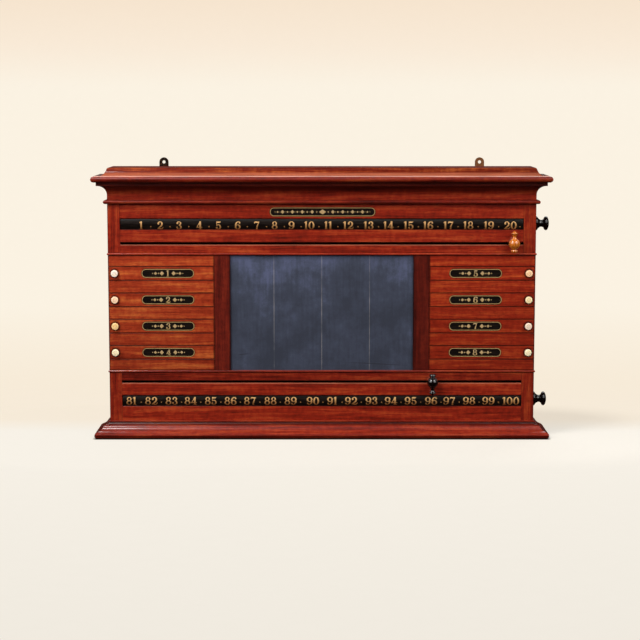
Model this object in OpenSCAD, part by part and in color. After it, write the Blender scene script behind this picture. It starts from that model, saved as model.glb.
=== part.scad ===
// Billiards scoreboard: a mahogany case with two turning number rollers, two sliding pointers,
// a writing slate and eight pull-out player slides. Millimetres, +Z up, front towards -Y.
// The origin is the middle of the underside, where the board stands.

/* [Case] */
// Width of the case over its two sides, without the mouldings
case_w = 852; // [780:2:940]
// Depth of the case from its front face to its back
case_d = 80; // [76:1:110]
// Thickness of the side boards
side_t = 14; // [12:1:18]
// Thickness of the front frame, the slats and the slides
front_t = 12; // [10:1:14]
// Thickness of the back board
back_t = 8; // [6:1:10]
// Thickness of the bottom board and the two inner shelves
shelf_t = 9; // [6:1:11]
// Thickness of the panel behind the slate and the slides
ground_t = 8; // [6:1:12]
// How far the back board laps into each side board
back_lap = 7; // [5:1:9]
// Depth of the housings that hold the shelves in the side boards
housing = 4; // [3:0.5:6]
// Length of the tenons on the front rails
tenon_l = 12; // [8:1:16]
// Thickness of the tenons on the front rails
tenon_t = 4; // [3:0.5:5]

/* [Heights] */
// Height of the lower roller front, from the plinth's top to the lower bead
lower_front_h = 98.2; // [94:0.2:120]
// Height of the middle part with the slate and the slides
middle_h = 231.6; // [226:0.2:280]
// Height of the upper roller front, from the upper bead to the necking bead
upper_front_h = 97.8; // [92:0.2:120]
// Height of the two thin beads that run round the case
cock_bead_h = 4.2; // [3:0.2:6]
// How far the thin beads stand out
cock_bead_out = 2; // [1:0.5:3]

/* [Front frame] */
// Width of the corner stiles beside each roller window
stile_w = 25; // [20:1:30]
// Height of the rail between a thin bead and a pointer slot
slot_rail_h = 16.8; // [14:0.2:20]
// Height of a pointer slot
slot_h = 4.8; // [4:0.2:6]
// Height of the rail between a pointer slot and a window
middle_rail_h = 25.2; // [22:0.2:30]
// Height of a roller window
window_h = 21.8; // [18:0.2:26]
// Width of the eased edges along windows, slots and slats
ease = 0.8; // [0.3:0.1:1.2]

/* [Slate and slides] */
// Visible width of the slate
slate_w = 365; // [320:1:400]
// How far the slate's face lies behind the front
slate_recess = 3.5; // [2:0.5:5]
// How far the slate reaches under each of its stiles
slate_lap = 5; // [3:1:8]
// Width of the stile on each side of the slate
slate_stile_w = 32; // [24:1:40]
// Height of a slide's face
slide_h = 27.3; // [24:0.1:30]
// Distance from one slide to the next
slide_pitch = 53; // [50:0.5:56]
// Undercut on each long edge, which holds a slide in its channel
dovetail = 2.5; // [1.5:0.5:4]
// How far a slide pulls out
slide_travel = 120; // [80:5:140]
// Radius of the stop peg on a slide's back
peg_r = 2.5; // [1.5:0.5:3]
// Length of the stop peg
peg_l = 3; // [2:0.5:4]
// Radius of a bone button
button_r = 7; // [6:0.1:9]
// Height of a bone button above its slide
button_h = 7; // [6:0.5:12]
// Distance from a slide's outer end to its button's middle
button_inset = 13; // [10:1:20]
// Radius of the dowel under a button
button_dowel_r = 2; // [1.5:0.5:3]
// Length of the dowel under a button
button_dowel_l = 6; // [4:1:8]

/* [Rollers] */
// Radius of a number roller
roller_r = 28; // [26:0.5:30]
// How far a roller's surface lies behind the front face
roller_recess = 0.5; // [0.3:0.1:2]
// Free space round a roller behind its rails
roller_clear = 1; // [0.6:0.1:2]
// Gap between a roller's end and a stile
roller_end_gap = 0.8; // [0.4:0.1:1.5]
// Radius of the steel spindles
spindle_r = 4; // [3:0.5:4.5]
// How far a spindle goes into its roller
spindle_grip = 30; // [20:1:50]
// Running clearance of a spindle in its bush
spindle_clear = 0.05; // [0.02:0.01:0.08]
// Outer radius of a brass bush
bush_r = 7; // [6:0.5:9]
// Depth of the blind bushes in the left side
blind_bush_l = 10; // [8:1:11]
// Length of a turning knob
knob_l = 28; // [24:0.5:34]
// Largest radius of a turning knob
knob_r = 14.2; // [12:0.2:16]
// Gap between a turning knob and the case
knob_gap = 0.5; // [0.3:0.1:1]
// How far a spindle goes into its knob
knob_grip = 16; // [12:1:18]

/* [Pointers] */
// Radius of a pointer's ball
ball_r = 11.2; // [10:0.2:13]
// Gap between a pointer's ball and the front face
ball_gap = 1.5; // [1:0.1:3]
// Depth of the flat on the back of the ball, where the pin's collar sits
ball_flat = 0.8; // [0.4:0.1:1.2]
// Radius of the brass pin through the slot
pin_r = 1.8; // [1.2:0.1:1.9]
// Radius of the pin's collar, which slides on the face
collar_r = 4.5; // [3.5:0.5:6]
// How far the pin goes into the ball
pin_grip = 7; // [5:1:9]
// Width of the block behind a slot
block_w = 24; // [18:1:30]
// Height of the block behind a slot
block_h = 14; // [10:1:14]
// Thickness of the block behind a slot
block_t = 6; // [4:0.5:8]
// Distance of the upper pointer from the right end of its slot
upper_pointer_inset = 19; // [17:1:700]
// Distance of the lower pointer from the right end of its slot
lower_pointer_inset = 179; // [17:1:700]

/* [Cornice and plinth] */
// Height of the necking bead under the cornice
neck_h = 7.6; // [6:0.2:10]
// How far the necking bead stands out
neck_out = 7.4; // [5:0.2:10]
// Height of the plain band under the cove
cove_band_h = 10.6; // [6:0.2:16]
// Radius of the cove
cove_r = 18.2; // [12:0.2:22]
// Height of the fillet above the cove
fillet_h = 7; // [4:0.1:10]
// How far the fillet stands out past the cove
fillet_out = 1.2; // [0.4:0.1:3]
// Height of the rounded cornice shelf
nose_h = 13; // [10:0.5:16]
// How far the cornice shelf stands out from the case
nose_out = 29; // [26:1:34]
// Height of the crown board
crown_h = 15.6; // [14:0.2:24]
// How far the foot of the crown board's moulding stands out
crown_out = 9.5; // [6:0.5:14]
// Height of the plinth moulding
plinth_h = 32; // [28:1:40]
// How far the plinth stands out from the case
plinth_out = 29; // [22:1:32]

/* [Fixings] */
// Distance between the two hanging plates
hanger_spacing = 638; // [500:2:720]
// Radius of a hanging plate's round top
hanger_r = 9.3; // [8:0.1:12]
// Thickness of a hanging plate
hanger_t = 2; // [1.5:0.1:3]
// Height of the hanging hole above the crown board
hanger_rise = 8.4; // [6:0.2:14]
// Radius of the hanging hole
hanger_hole_r = 3.2; // [2.5:0.1:4]
// Radius of a screw's shank
screw_r = 1.6; // [1.2:0.1:2]
// Radius of a screw's head
screw_head_r = 3.2; // [2.8:0.1:3.4]
// Length of a screw
screw_l = 18; // [14:1:24]

/* [Hidden] */
$fn = 72;
run = 0.3; // clearance of wood that slides on wood
fit = 0.15; // clearance of a plate laid into its recess
mitre_gap = 0.08; // hairline between two mitred lengths

// Colours, as the polished board shows them
mahogany = [0.54, 0.18, 0.11];
red_mahogany = [0.64, 0.24, 0.14];
dark_mahogany = [0.36, 0.11, 0.08];
pine = [0.72, 0.56, 0.36];
slate_blue = [0.30, 0.32, 0.38];
ebony = [0.06, 0.05, 0.05];
boxwood = [0.86, 0.56, 0.25];
bone = [0.95, 0.90, 0.80];
brass = [0.60, 0.45, 0.22];
steel = [0.55, 0.55, 0.56];

// Planes across the depth
half_w = case_w / 2;
total_d = case_d + plinth_out;
front_y = plinth_out - total_d / 2;
back_y = total_d / 2;
ground_y = front_y + front_t;
inside_y = back_y - back_t;
inside_x = half_w - side_t;

// Heights from the floor up
lower_bead_z = plinth_h + lower_front_h;
middle_z = lower_bead_z + cock_bead_h;
upper_bead_z = middle_z + middle_h;
upper_z = upper_bead_z + cock_bead_h;
neck_z = upper_z + upper_front_h;
cove_z = neck_z + neck_h;
shelf_z = cove_z + cove_band_h + cove_r + fillet_h;
crown_z = shelf_z + nose_h;
top_z = crown_z + crown_h;

// Slots, windows and rollers: the lower front mirrors the upper one
upper_slot_z = upper_z + slot_rail_h + slot_h / 2;
upper_window_z = upper_slot_z + slot_h / 2 + middle_rail_h + window_h / 2;
lower_slot_z = lower_bead_z - slot_rail_h - slot_h / 2;
lower_window_z = lower_slot_z - slot_h / 2 - middle_rail_h - window_h / 2;
stile_x = half_w - stile_w;
roller_y = front_y + roller_recess + roller_r;
roller_half = stile_x - roller_end_gap;

// Above and below a roller's axis, the height from which the rails keep their full thickness
hollow_h = sqrt(pow(roller_r + roller_clear, 2) - pow(roller_recess + roller_r - front_t, 2));

// Where each front rail has its tenons: [lowest, highest]
shoulder = 2;
upper_tenons = [
  [upper_z + shoulder, upper_slot_z - slot_h / 2 - shoulder],
  [upper_slot_z + slot_h / 2 + shoulder, upper_window_z - hollow_h - 1],
  [upper_window_z + hollow_h + 1, cove_z - shoulder]
];
lower_tenons = [
  [shoulder, lower_window_z - hollow_h - 1],
  [lower_window_z + hollow_h + 1, lower_slot_z - slot_h / 2 - shoulder],
  [lower_slot_z + slot_h / 2 + shoulder, lower_bead_z - shoulder]
];
pointer_y = front_y - ball_gap - ball_r + ball_flat;
upper_pointer_x = stile_x - upper_pointer_inset;
lower_pointer_x = stile_x - lower_pointer_inset;
block_y = ground_y + run;

// Slate, stiles and slides
slate_x = slate_w / 2;
slat_x = slate_x + slate_stile_w;
slide_count = 4;
slide_margin = (middle_h - slide_pitch * (slide_count - 1) - slide_h) / 2;
peg_x = slat_x + peg_r + 4;
button_x = half_w - button_inset;

// The undersides of the bottom board and the two shelves
shelf_places = [0, middle_z - shelf_t, upper_bead_z];

// The middle height of one slide, counted from the top
function slide_z(i) = upper_bead_z - slide_margin - slide_h / 2 - (i - 1) * slide_pitch;

// Points on an arc about [cx, cz], from angle a0 to a1
function arc(cx, cz, r, a0, a1, steps = 12) =
  [for (i = [0 : steps]) let (a = a0 + (a1 - a0) * i / steps) [cx + r * cos(a), cz + r * sin(a)]];

// Points on an arc of radius r from p to q. side is 1 where its middle lies left of the way there
function chord_arc(p, q, r, side, steps = 10) =
  let (
    d = q - p,
    l = norm(d),
    n = [-d[1], d[0]] / l,
    c = (p + q) / 2 + n * side * sqrt(r * r - l * l / 4),
    a0 = atan2(p[1] - c[1], p[0] - c[0]),
    turn = 2 * asin(l / 2 / r) * side
  )
  [for (i = [0 : steps]) let (a = a0 + turn * i / steps) c + r * [cos(a), sin(a)]];

// A list of points without its first one, where another line ends
function after_first(points) = [for (i = [1 : len(points) - 1]) points[i]];

// A box given by its lowest and highest corners
module box(low, high) {
  translate(low) cube(high - low);
}

// A shape drawn as [depth, height], run along the board's length from x0 to x1
module run_x(x0, x1) {
  translate([x0, 0, 0])
    rotate([90, 0, 90])
      linear_extrude(x1 - x0) children();
}

// A moulding's shape, drawn as [outwards, height], run along the front
module front_run(length) {
  translate([-length / 2, front_y, 0])
    rotate([90, 0, 90])
      linear_extrude(length) mirror([1, 0]) children();
}

// The same shape run along the right side
module side_run(behind = 0) {
  translate([half_w, back_y, 0])
    rotate([90, 0, 0])
      linear_extrude(total_d + behind) children();
}

// A moulding round the front and both sides, in three mitred lengths. out is its reach,
// and inner is how far it goes into the case
module mitred(points, out, inner = 0) {
  reach = out + 1;
  corner = [half_w + reach, front_y - reach];
  heel = [half_w - inner, front_y + inner];
  intersection() {
    front_run(case_w + 2 * reach) polygon(points(inner));
    tall([[-corner[0], corner[1]], corner, heel, [-heel[0], heel[1]]]);
  }
  for (s = [0, 1]) mirror([s, 0, 0])
    side_length(points, corner, heel, reach, inner);
}

// The length of a moulding on the right side, from its mitre to the back
module side_length(points, corner, heel, reach, inner) {
  gap = [0, mitre_gap];
  intersection() {
    side_run(reach) polygon(points(inner));
    tall([corner + gap, [corner[0], back_y], [heel[0], back_y], heel + gap]);
  }
}

// A column over the whole height, from its corners in plan
module tall(corners) {
  translate([0, 0, -1]) linear_extrude(top_z + 2) polygon(corners);
}

// A whole board whose front and side edges are moulded: outline holds [outwards, height]
module moulded_board(outline, out) {
  last = len(outline) - 1;
  right = [for (p = outline) [half_w + p[0], p[1]]];
  left = [for (i = [last : -1 : 0]) [-half_w - outline[i][0], outline[i][1]]];
  intersection() {
    front_run(case_w + 2 * out + 2)
      polygon(concat(outline, [[-case_d, outline[last][1]], [-case_d, outline[0][1]]]));
    translate([0, back_y, 0])
      rotate([90, 0, 0])
        linear_extrude(total_d + 2 * out) polygon(concat(right, left));
  }
}

// Shapes of the mouldings, as functions of how deep their backs go
cove_points = function (inner)
  concat(
    [[-inner, cove_z], [0, cove_z]],
    arc(cove_r, cove_z + cove_band_h, cove_r, 180, 90),
    [[cove_r + fillet_out, cove_z + cove_band_h + cove_r], [cove_r + fillet_out, shelf_z]],
    [[-inner, shelf_z]]
  );
neck_points = function (inner)
  concat(
    [[-inner, neck_z]],
    arc(neck_out - neck_h / 2, neck_z + neck_h / 2, neck_h / 2, -90, 90),
    [[-inner, neck_z + neck_h]]
  );
plinth_points = function (inner)
  let (
    o = plinth_out,
    h = plinth_h,
    toe = [0.905 * o, 0],
    arris = [0.965 * o, 0.29 * h],
    ledge = [0.7 * o, 0.415 * h],
    waist = [0.44 * o, 0.645 * h],
    shoulder = [0.27 * o, 0.775 * h],
    hollow = [[0.22 * o, 0.775 * h], [0.075 * o, 0.94 * h]]
  )
  concat(
    [[-inner, 0]],
    chord_arc(toe, arris, 0.25 * h, 1),
    after_first(chord_arc(arris, ledge, 0.5 * h, 1)),
    after_first(chord_arc(ledge, waist, 0.62 * h, -1)),
    after_first(chord_arc(waist, shoulder, 0.24 * h, 1)),
    chord_arc(hollow[0], hollow[1], 0.2 * h, -1),
    [[0.13 * o, 0.94 * h], [0.13 * o, 0.98 * h], [0.1 * o, h], [-inner, h]]
  );

module cove_moulding() {
  color(mahogany) mitred(cove_points, cove_r + fillet_out, front_t);
}

module necking_bead() {
  color(mahogany) mitred(neck_points, neck_out);
}

module plinth_moulding() {
  color(mahogany) mitred(plinth_points, plinth_out);
}

// The shelf of the cornice, with a rounded nose under a small step
module cornice_shelf() {
  step = 1;
  r = (nose_h - step) / 2;
  color(mahogany) difference() {
    moulded_board(concat(
      arc(nose_out - r, shelf_z + r, r, -90, 90, 16),
      [[nose_out - r - step, crown_z - step], [nose_out - r - step, crown_z]]
    ), nose_out);
    hanging_plate_recess();
    screw_holes();
  }
}

// The crown board on top, with an ogee edge: hollow below and rounded above
module crown_board() {
  lean = 20; // degrees by which the round starts off the vertical
  foot = [crown_out, crown_z];
  waist = [0.2, top_z - crown_h * 0.21];
  round_r = crown_h * 0.21 / (1 - sin(lean));
  color(mahogany) difference() {
    moulded_board(concat(
      [foot],
      chord_arc(foot, waist, crown_h * 1.3, -1),
      arc(waist[0] - round_r * cos(lean), top_z - round_r, round_r, lean, 90)
    ), crown_out);
    hanging_plate_recess();
    screw_holes();
  }
}

// A thin bead across the whole front, as deep as the front frame, with a return on each side
module cock_bead(z) {
  r = cock_bead_h / 2;
  points = function (inner)
    concat(
      [[-inner, z]],
      [for (a = [-90 : 15 : 90]) [cock_bead_out * cos(a), z + r + r * sin(a)]],
      [[-inner, z + cock_bead_h]]
    );
  reach = cock_bead_out + 1;
  corner = [half_w + reach, front_y - reach];
  heel = [half_w, front_y];
  end_x = half_w - mitre_gap;
  color(dark_mahogany) {
    intersection() {
      front_run(case_w + 2 * reach) polygon(points(front_t));
      tall([
        [-corner[0], corner[1]], corner, heel, [end_x, front_y], [end_x, ground_y],
        [-end_x, ground_y], [-end_x, front_y], [-heel[0], heel[1]]
      ]);
    }
    for (s = [0, 1]) mirror([s, 0, 0])
      side_length(points, corner, heel, reach, 0);
  }
}

// The carcass
module side_board() {
  difference() {
    box([inside_x, ground_y, 0], [half_w, back_y, cove_z]);
    box([inside_x - 1, inside_y, -1], [inside_x + back_lap, back_y + 1, cove_z + 1]);
    for (z = shelf_places)
      box([inside_x - 1, ground_y - 1, z], [inside_x + housing, inside_y + 1, z + shelf_t]);
    screw_holes();
  }
}

module left_side() {
  color(mahogany) difference() {
    mirror([1, 0, 0]) side_board();
    for (z = [lower_window_z, upper_window_z])
      translate([-inside_x - blind_bush_l, roller_y, z])
        rotate([0, 90, 0]) cylinder(r = bush_r, h = blind_bush_l + 1);
  }
}

module right_side() {
  color(mahogany) difference() {
    side_board();
    for (z = [lower_window_z, upper_window_z])
      translate([inside_x - 1, roller_y, z])
        rotate([0, 90, 0]) cylinder(r = bush_r, h = side_t + 2);
  }
}

module back_board() {
  x = inside_x + back_lap;
  color(pine) difference() {
    box([-x, inside_y, 0], [x, back_y, shelf_z]);
    for (s = [-1, 1])
      box([s * (inside_x + back_lap / 2) - back_lap / 2 - 1, inside_y - 1, cove_z],
          [s * (inside_x + back_lap / 2) + back_lap / 2 + 1, back_y + 1, shelf_z + 1]);
    screw_holes();
  }
}

module shelf(z) {
  x = inside_x + housing;
  color(pine) difference() {
    box([-x, ground_y, z], [x, inside_y, z + shelf_t]);
    screw_holes();
  }
}

// The panel behind the slate and the slides, with a groove for each slide's stop peg
module ground_panel() {
  color(dark_mahogany) difference() {
    box([-inside_x, ground_y, middle_z], [inside_x, ground_y + ground_t, upper_bead_z]);
    for (s = [0, 1], i = [1 : slide_count]) mirror([s, 0, 0])
      box([peg_x - peg_r - run, ground_y - 1, slide_z(i) - peg_r - run],
          [peg_x + slide_travel + peg_r + run, ground_y + peg_l + run, slide_z(i) + peg_r + run]);
  }
}

// A front rail with a tenon at each end. eased is 1 where the lower or the upper front edge
// is eased
module rail(z0, z1, eased, tenons) {
  low = eased[0] * ease;
  high = eased[1] * ease;
  run_x(-stile_x, stile_x)
    polygon([
      [front_y + low, z0], [ground_y, z0], [ground_y, z1], [front_y + high, z1],
      [front_y, z1 - high], [front_y, z0 + low]
    ]);
  tenon_bar(tenons, 0);
}

// The two tenons of a rail. grow makes the mortises a little deeper
module tenon_bar(span, grow) {
  x = stile_x + tenon_l + grow;
  y = front_y + (front_t - tenon_t) / 2;
  box([-x, y, span[0]], [x, y + tenon_t, span[1]]);
}

// The space that a roller and its clearance take out of the rails
module roller_space(z) {
  translate([-stile_x, roller_y, z])
    rotate([0, 90, 0]) cylinder(r = roller_r + roller_clear, h = 2 * stile_x);
}

module frieze_rail() {
  color(mahogany) difference() {
    rail(upper_window_z + window_h / 2, cove_z, [1, 0], upper_tenons[2]);
    roller_space(upper_window_z);
  }
}

module upper_middle_rail() {
  color(mahogany) difference() {
    rail(upper_slot_z + slot_h / 2, upper_window_z - window_h / 2, [1, 1], upper_tenons[1]);
    roller_space(upper_window_z);
  }
}

module upper_bottom_rail() {
  color(mahogany) rail(upper_z, upper_slot_z - slot_h / 2, [0, 1], upper_tenons[0]);
}

module lower_top_rail() {
  color(mahogany) rail(lower_slot_z + slot_h / 2, lower_bead_z, [1, 0], lower_tenons[2]);
}

module lower_middle_rail() {
  color(mahogany) difference() {
    rail(lower_window_z + window_h / 2, lower_slot_z - slot_h / 2, [1, 1], lower_tenons[1]);
    roller_space(lower_window_z);
  }
}

module lower_bottom_rail() {
  color(mahogany) difference() {
    rail(0, lower_window_z - window_h / 2, [0, 1], lower_tenons[0]);
    roller_space(lower_window_z);
  }
}

// A corner stile, right of the front, mortised for the rails. Its outer front edge is eased
module stile(z0, z1, tenons) {
  color(mahogany) difference() {
    translate([0, 0, z0]) linear_extrude(z1 - z0)
      polygon([
        [stile_x, front_y], [half_w - ease, front_y], [half_w, front_y + ease],
        [half_w, ground_y], [stile_x, ground_y]
      ]);
    for (span = tenons) tenon_bar(span, 0.5);
  }
}

// The stile beside the slate, rebated behind for the slate's edge
module slate_stile() {
  color(dark_mahogany) translate([0, 0, middle_z]) linear_extrude(middle_h)
    polygon([
      [slate_x + ease, front_y], [slat_x, front_y], [slat_x, ground_y],
      [slate_x + slate_lap + run, ground_y],
      [slate_x + slate_lap + run, front_y + slate_recess],
      [slate_x, front_y + slate_recess], [slate_x, front_y + ease]
    ]);
}

module slate() {
  x = slate_x + slate_lap;
  color(slate_blue)
    box([-x, front_y + slate_recess, middle_z], [x, ground_y, upper_bead_z]);
}

// The fixed slats between the slides, narrower behind than in front
module fixed_slats() {
  first = upper_bead_z;
  last = middle_z;
  for (i = [0 : slide_count]) {
    top = i == 0 ? first : slide_z(i) - slide_h / 2 - run;
    bottom = i == slide_count ? last : slide_z(i + 1) + slide_h / 2 + run;
    under_top = i == 0 ? 0 : dovetail;
    under_bottom = i == slide_count ? 0 : dovetail;
    ease_top = i == 0 ? 0 : ease;
    ease_bottom = i == slide_count ? 0 : ease;
    color(red_mahogany) run_x(slat_x, half_w)
      polygon([
        [front_y + ease_bottom, bottom], [ground_y, bottom + under_bottom],
        [ground_y, top - under_top], [front_y + ease_top, top],
        [front_y, top - ease_top], [front_y, bottom + ease_bottom]
      ]);
  }
}

// A player slide: a dovetailed slip of mahogany with a stop peg behind and a hole for its button
module slide(i) {
  z = slide_z(i);
  h = slide_h / 2;
  back = ground_y - run;
  color(red_mahogany) difference() {
    union() {
      run_x(slat_x + run, half_w)
        polygon([
          [front_y + ease, z - h], [back, z - h - dovetail + run],
          [back, z + h + dovetail - run], [front_y + ease, z + h],
          [front_y, z + h - ease], [front_y, z - h + ease]
        ]);
      translate([peg_x, back + peg_l, z]) rotate([90, 0, 0]) cylinder(r = peg_r, h = peg_l + 1);
    }
    translate([button_x, front_y + button_dowel_l, z])
      rotate([90, 0, 0]) cylinder(r = button_dowel_r, h = button_dowel_l + 1);
  }
}

// A turned bone button with its dowel
module button(i) {
  r = button_r;
  h = button_h;
  color(bone) translate([button_x, front_y, slide_z(i)]) rotate([90, 0, 0])
    rotate_extrude()
      polygon(concat(
        [[0, -button_dowel_l], [button_dowel_r, -button_dowel_l], [button_dowel_r, 0]],
        [[r * 0.6, 0], [r * 0.6, h * 0.1], [r * 0.46, h * 0.24], [r * 0.46, h * 0.4]],
        [[r * 0.86, h * 0.52]],
        chord_arc([r, h * 0.62], [r * 0.5, h * 0.96], r * 0.75, 1, 6),
        chord_arc([r * 0.42, h * 0.93], [0, h], r * 1.2, 1, 3)
      ));
}

// A number roller, with a blind hole in each end for its spindle
module roller(z) {
  color(ebony) translate([0, roller_y, z]) rotate([0, 90, 0]) difference() {
    cylinder(r = roller_r, h = 2 * roller_half, center = true);
    for (s = [-1, 1])
      translate([0, 0, s * roller_half])
        cylinder(r = spindle_r, h = 2 * spindle_grip, center = true);
  }
}

// The two stub spindles: the right one goes through its bush into the knob
module spindles(z) {
  x0 = roller_half - spindle_grip;
  left_l = inside_x + blind_bush_l - run - x0;
  right_l = half_w + knob_gap + knob_grip - x0;
  color(steel) translate([0, roller_y, z]) {
    translate([-x0, 0, 0]) rotate([0, -90, 0]) cylinder(r = spindle_r, h = left_l);
    translate([x0, 0, 0]) rotate([0, 90, 0]) cylinder(r = spindle_r, h = right_l);
  }
}

// The brass bushes: two blind ones on the left and two through the right side
module roller_bushes() {
  color(brass) for (z = [lower_window_z, upper_window_z]) {
    bush(-inside_x - blind_bush_l, blind_bush_l, z);
    bush(inside_x, side_t, z);
  }
}

module bush(x, length, z) {
  translate([x, roller_y, z]) rotate([0, 90, 0]) difference() {
    cylinder(r = bush_r, h = length);
    translate([0, 0, -1]) cylinder(r = spindle_r + spindle_clear, h = length + 2);
  }
}

// A turned knob: a flange against the case, a hollow cone down to the neck, and a round head
module roller_knob(z) {
  r = knob_r;
  l = knob_l;
  color(ebony) translate([half_w + knob_gap, roller_y, z]) rotate([0, 90, 0])
    difference() {
      rotate_extrude() polygon(concat(
        [[0, 0], [r * 0.95, 0], [r * 0.99, l * 0.05], [r * 0.99, l * 0.11], [r * 0.96, l * 0.15]],
        chord_arc([r * 0.92, l * 0.17], [r * 0.5, l * 0.44], l * 0.36, -1, 7),
        chord_arc([r * 0.5, l * 0.47], [r * 0.64, l * 0.62], l * 0.22, -1, 4),
        [for (a = [-40 : 10 : 90]) [r * cos(a), l * (0.785 + 0.215 * sin(a))]]
      ));
      translate([0, 0, -1]) cylinder(r = spindle_r, h = knob_grip + 1);
    }
}

// A turned pointer: a ball on a small foot, with a neck and a crown at its tip. way is 1 where
// the tip points up and -1 where it points down
module pointer(x, z, way) {
  r = ball_r;
  foot = [
    [0, -0.6], [0.66, -0.6], [0.66, -0.76], [0.6, -0.84], [0.4, -0.88], [0.38, -0.98],
    [0.52, -1.05], [0.57, -1.16], [0.57, -1.34], [0.5, -1.5], [0, -1.5]
  ];
  neck = concat(
    [[0, 0.2], [0.8, 0.2], [0.87, 0.46]],
    chord_arc([0.82, 0.58], [0.33, 1.14], 1.5, -1, 6),
    chord_arc([0.33, 1.36], [0.56, 1.72], 0.5, -1, 5),
    [[0.6, 1.8], [0.58, 1.96], [0.3, 2.03], [0.22, 2.08], [0.22, 2.18], [0.12, 2.25], [0, 2.25]]
  );
  color(way > 0 ? boxwood : ebony) difference() {
    translate([x, pointer_y, z]) mirror([0, 0, way > 0 ? 0 : 1]) {
      sphere(r = r);
      rotate_extrude() polygon(r * foot);
      rotate_extrude() polygon(r * neck);
    }
    translate([x, front_y - ball_gap, z]) {
      rotate([90, 0, 0]) cylinder(r = pin_r, h = 2 * pin_grip, center = true);
      rotate([-90, 0, 0]) cylinder(r = r, h = r);
    }
  }
}

// The brass pin that joins a pointer to its block, with a collar on the face
module pointer_pin(x, z) {
  back = block_y + block_t;
  color(brass) translate([x, back, z]) rotate([90, 0, 0]) {
    cylinder(r = pin_r, h = back - front_y + ball_gap + pin_grip);
    translate([0, 0, back - front_y + run]) cylinder(r = collar_r, h = ball_gap - run);
  }
}

// The block that runs behind the slot
module pointer_block(x, z) {
  color(pine) difference() {
    box([x - block_w / 2, block_y, z - block_h / 2],
        [x + block_w / 2, block_y + block_t, z + block_h / 2]);
    translate([x, block_y - 1, z]) rotate([-90, 0, 0]) cylinder(r = pin_r, h = block_t + 2);
  }
}

// Fixings. The hanging plates lie in the back edges of the crown board and the cornice shelf
hanger_foot_z = shelf_z + 1.5;

module hanging_plate_outline(grow) {
  r = hanger_r + grow;
  union() {
    translate([0, top_z + hanger_rise]) circle(r = r);
    translate([-r, hanger_foot_z - grow])
      square([2 * r, top_z + hanger_rise - hanger_foot_z + grow]);
  }
}

module hanging_plate_recess() {
  for (s = [-1, 1])
    translate([s * hanger_spacing / 2, back_y + 1, 0])
      rotate([90, 0, 0]) linear_extrude(hanger_t + fit + 1) hanging_plate_outline(fit);
}

module hanging_plates() {
  color(brass) difference() {
    for (s = [-1, 1])
      translate([s * hanger_spacing / 2, back_y, 0])
        rotate([90, 0, 0]) linear_extrude(hanger_t) hanging_plate_outline(0);
    for (s = [-1, 1])
      translate([s * hanger_spacing / 2, back_y - hanger_t - 1, top_z + hanger_rise])
        rotate([-90, 0, 0]) cylinder(r = hanger_hole_r, h = hanger_t + 2);
    screw_holes();
  }
}

// Where the screws go in from behind: through the plates, and through the back board
edge_screw_x = inside_x + back_lap / 2;
screw_places = concat(
  [for (s = [-1, 1], z = [shelf_z + nose_h / 2, crown_z + crown_h / 2])
    [s * hanger_spacing / 2, z]],
  [for (s = [-1, 1], z = [shelf_t * 3, middle_z + middle_h * 0.2,
                          middle_z + middle_h * 0.8, neck_z - shelf_t])
    [s * edge_screw_x, z]],
  [for (x = [-0.5, 0, 0.5], z = shelf_places) [x * inside_x, z + shelf_t / 2]]
);

module screw_shape(grow = 0) {
  head_l = screw_head_r - screw_r;
  rotate_extrude() polygon([
    [0, -grow], [screw_head_r, -grow], [screw_head_r, 0], [screw_r, head_l],
    [screw_r, screw_l - 2 * screw_r], [0, screw_l]
  ]);
}

module screw_holes() {
  for (p = screw_places)
    translate([p[0], back_y, p[1]]) rotate([90, 0, 0]) screw_shape(1);
}

module wood_screws() {
  color(steel) for (p = screw_places)
    translate([p[0], back_y, p[1]]) rotate([90, 0, 0]) screw_shape();
}

module mirror_x() {
  mirror([1, 0, 0]) children();
}

back_board();
left_side();
right_side();
shelf(shelf_places[0]);  // bottom_board
shelf(shelf_places[1]);  // lower_shelf
shelf(shelf_places[2]);  // upper_shelf
ground_panel();
crown_board();
cornice_shelf();
cove_moulding();
necking_bead();
plinth_moulding();
cock_bead(upper_bead_z);  // upper_bead
cock_bead(lower_bead_z);  // lower_bead
mirror_x() stile(upper_z, cove_z, upper_tenons);  // upper_left_stile
stile(upper_z, cove_z, upper_tenons);  // upper_right_stile
frieze_rail();
upper_middle_rail();
upper_bottom_rail();
mirror_x() stile(0, lower_bead_z, lower_tenons);  // lower_left_stile
stile(0, lower_bead_z, lower_tenons);  // lower_right_stile
lower_top_rail();
lower_middle_rail();
lower_bottom_rail();
mirror_x() slate_stile();  // left_slate_stile
slate_stile();  // right_slate_stile
slate();
mirror_x() fixed_slats();  // left_fixed_slats
fixed_slats();  // right_fixed_slats
hanging_plates();
wood_screws();
roller_bushes();
for (i = [1 : slide_count]) {
  mirror_x() slide(i);
  slide(i);
  mirror_x() button(i);
  button(i);
}
roller(upper_window_z);  // upper_roller
spindles(upper_window_z);  // upper_roller_spindles
roller_knob(upper_window_z);  // upper_roller_knob
roller(lower_window_z);  // lower_roller
spindles(lower_window_z);  // lower_roller_spindles
roller_knob(lower_window_z);  // lower_roller_knob
pointer(upper_pointer_x, upper_slot_z, 1);  // upper_pointer
pointer_pin(upper_pointer_x, upper_slot_z);  // upper_pointer_pin
pointer_block(upper_pointer_x, upper_slot_z);  // upper_pointer_block
pointer(lower_pointer_x, lower_slot_z, -1);  // lower_pointer
pointer_pin(lower_pointer_x, lower_slot_z);  // lower_pointer_pin
pointer_block(lower_pointer_x, lower_slot_z);  // lower_pointer_block
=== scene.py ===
"""Billiards scoreboard: the finishes and the finer pieces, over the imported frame."""
import math
from functools import partial

import bpy
from bpy.props import FloatProperty, FloatVectorProperty, IntProperty, PointerProperty
from mathutils import Matrix, Vector


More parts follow.
